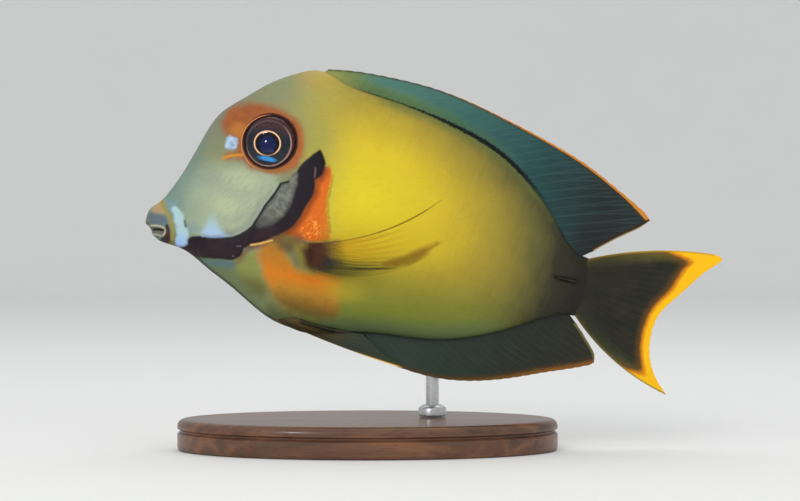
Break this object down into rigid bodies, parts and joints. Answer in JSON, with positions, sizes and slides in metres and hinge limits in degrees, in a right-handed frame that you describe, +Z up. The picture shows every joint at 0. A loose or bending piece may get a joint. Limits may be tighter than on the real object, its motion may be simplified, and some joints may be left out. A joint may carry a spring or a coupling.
{
  "type": "chocolate surgeonfish on a display stand",
  "caption": "Life-size museum model of a young chocolate surgeonfish, fins spread, swimming with its head raised above a flat oval base on a short rod.",
  "frame": {"origin": "centre of the stand base's underside, below the fish's centre of mass", "axes": "+X towards the fish's tail, +Y towards its right side, +Z up; the fish swims towards -X with its head raised"},
  "size_m": [0.1313, 0.054, 0.086],
  "materials": {
    "body_skin": "satin",
    "head_skin": "satin",
    "tail_root_skin": "satin",
    "lips": "satin",
    "gill_cover": "satin",
    "eye": "gloss",
    "spine": "satin",
    "median_fin": "satin",
    "tail_fin": "satin",
    "paired_fin": "satin",
    "pelvic_fin": "satin",
    "base_wood": "satin",
    "rod_steel": "satin"
  },
  "bodies": {
    "root": {"head": "head_skin", "upper_jaw": "lips", "lower_jaw": "lips", "gill_cover_left": "gill_cover", "gill_cover_right": "gill_cover", "eye_left": "eye", "eye_right": "eye", "torso": "body_skin", "tail_root": "tail_root_skin", "tail_spine_left": "spine", "tail_spine_right": "spine", "dorsal_fin": "median_fin", "anal_fin": "median_fin", "tail_fin_upper_lobe": "tail_fin", "tail_fin_lower_lobe": "tail_fin", "pectoral_fin_left": "paired_fin", "pectoral_fin_right": "paired_fin", "pelvic_fin_left": "pelvic_fin", "pelvic_fin_right": "pelvic_fin", "stand_base": "base_wood", "stand_rod": "rod_steel", "stand_collar": "rod_steel"}
  },
  "joints": []
}
